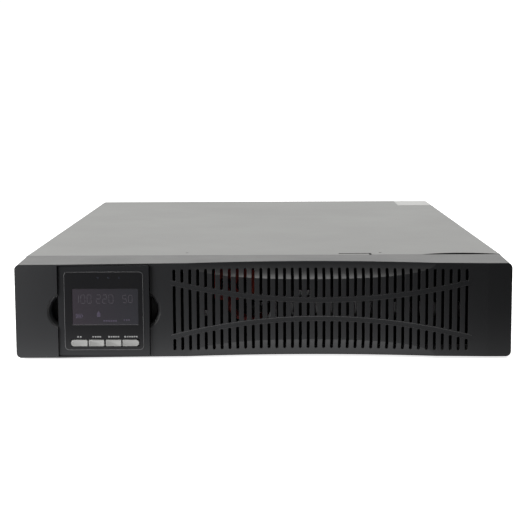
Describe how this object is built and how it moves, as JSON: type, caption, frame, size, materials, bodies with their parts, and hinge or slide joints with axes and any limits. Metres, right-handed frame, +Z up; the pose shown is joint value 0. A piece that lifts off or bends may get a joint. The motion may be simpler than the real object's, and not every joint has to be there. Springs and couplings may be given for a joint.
{
  "type": "uninterruptible power supply",
  "caption": "Flat rack-mount battery backup power unit with a slotted front bezel, pull-out display with keys, and rear fans, outlets and ports.",
  "frame": {"origin": "centre of the bottom of the whole unit", "axes": "+X to the right of the front, +Y from the front bezel to the rear panel, +Z up"},
  "size_m": [0.438, 0.63, 0.0866],
  "materials": {
    "bezel_plastic": "fine moulded texture",
    "module_plastic": "fine moulded texture",
    "lens_gloss": "high gloss",
    "lcd": "unlit display",
    "button_silver": "silver satin",
    "circuit_board": "solder resist",
    "switch_body": "plain",
    "case_paint": "grey satin powder coat",
    "rear_paint": "grey satin powder coat",
    "inner_paint": "matt black paint",
    "bare_steel": "zinc plated",
    "screw_steel": "nickel plated",
    "label_film": "blank printed film",
    "battery_case": "moulded case",
    "connector_red": "moulded polycarbonate",
    "lead_red": "insulated lead",
    "lead_black": "insulated lead",
    "link_wire": "insulated lead",
    "heatsink_aluminium": "extruded",
    "capacitor_sleeve": "shrink sleeve",
    "winding_copper": "enamelled winding",
    "core_ferrite": "taped coil and core",
    "relay_case": "plain",
    "fan_plastic": "glass filled",
    "socket_plastic": "fine texture",
    "breaker_plastic": "plain",
    "breaker_cap": "plain",
    "port_metal": "nickel plated"
  },
  "bodies": {
    "chassis": {"battery_1": "battery_case", "battery_2": "battery_case", "battery_3": "battery_case", "battery_4": "battery_case", "battery_5": "battery_case", "battery_6": "battery_case", "battery_door": "inner_paint", "battery_handle": "screw_steel", "battery_links": "link_wire", "battery_plug": "connector_red", "battery_socket": "connector_red", "battery_tray": "bare_steel", "board_standoffs": "screw_steel", "breaker_body": "breaker_plastic", "bus_capacitors": "capacitor_sleeve", "charger_transformer": "core_ferrite", "chassis_base": "case_paint", "chassis_cover": "case_paint", "control_board": "circuit_board", "cover_label": "label_film", "cover_screws": "screw_steel", "divider_wall": "bare_steel", "door_screws": "screw_steel", "fan_frame_1": "fan_plastic", "fan_frame_2": "fan_plastic", "fan_guard_1": "screw_steel", "fan_guard_2": "screw_steel", "fan_screws": "screw_steel", "front_panel": "inner_paint", "ground_stud": "screw_steel", "inlet_pins": "port_metal", "inverter_heatsink": "heatsink_aluminium", "lead_negative": "lead_black", "lead_positive": "lead_red", "mains_inlet": "socket_plastic", "outlet_bank_1": "socket_plastic", "outlet_bank_2": "socket_plastic", "output_inductor": "winding_copper", "power_board": "circuit_board", "rear_panel": "rear_paint", "serial_port": "port_metal", "slot_cover": "rear_paint", "slot_screws": "screw_steel", "transfer_relays": "relay_case", "usb_port": "port_metal"},
    "bezel": {"front_bezel": "bezel_plastic"},
    "display": {"display_housing": "module_plastic", "display_lens": "lens_gloss", "lcd_screen": "lcd", "display_board": "circuit_board", "display_switches": "switch_body", "display_back": "module_plastic"},
    "button_1": {"button_1": "button_silver"},
    "button_2": {"button_2": "button_silver"},
    "button_3": {"button_3": "button_silver"},
    "button_4": {"button_4": "button_silver"},
    "fan_rotor_1": {"fan_rotor_1": "fan_plastic"},
    "fan_rotor_2": {"fan_rotor_2": "fan_plastic"},
    "breaker_button": {"breaker_button": "breaker_cap"}
  },
  "joints": [
    {"name": "bezel_pull", "type": "slide", "parent": "chassis", "child": "bezel", "axis": [0, -1, 0], "range_m": [0, 0.06]},
    {"name": "display_pull", "type": "slide", "parent": "bezel", "child": "display", "axis": [0, -1, 0], "range_m": [0, 0.035]},
    {"name": "button_1_press", "type": "slide", "parent": "display", "child": "button_1", "axis": [0, 1, 0], "range_m": [0, 0.0006], "stiffness_N_per_m": 900, "springref_m": -0.0006},
    {"name": "button_2_press", "type": "slide", "parent": "display", "child": "button_2", "axis": [0, 1, 0], "range_m": [0, 0.0006], "stiffness_N_per_m": 900, "springref_m": -0.0006},
    {"name": "button_3_press", "type": "slide", "parent": "display", "child": "button_3", "axis": [0, 1, 0], "range_m": [0, 0.0006], "stiffness_N_per_m": 900, "springref_m": -0.0006},
    {"name": "button_4_press", "type": "slide", "parent": "display", "child": "button_4", "axis": [0, 1, 0], "range_m": [0, 0.0006], "stiffness_N_per_m": 900, "springref_m": -0.0006},
    {"name": "fan_1_spin", "type": "hinge", "parent": "chassis", "child": "fan_rotor_1", "pos_m": [0.062, 0.297, 0.04225], "axis": [0, 1, 0], "continuous": true},
    {"name": "fan_2_spin", "type": "hinge", "parent": "chassis", "child": "fan_rotor_2", "pos_m": [-0.022, 0.297, 0.04225], "axis": [0, 1, 0], "continuous": true},
    {"name": "breaker_reset", "type": "slide", "parent": "chassis", "child": "breaker_button", "axis": [0, -1, 0], "range_m": [0, 0.002], "stiffness_N_per_m": 1200, "springref_m": -0.001}
  ]
}
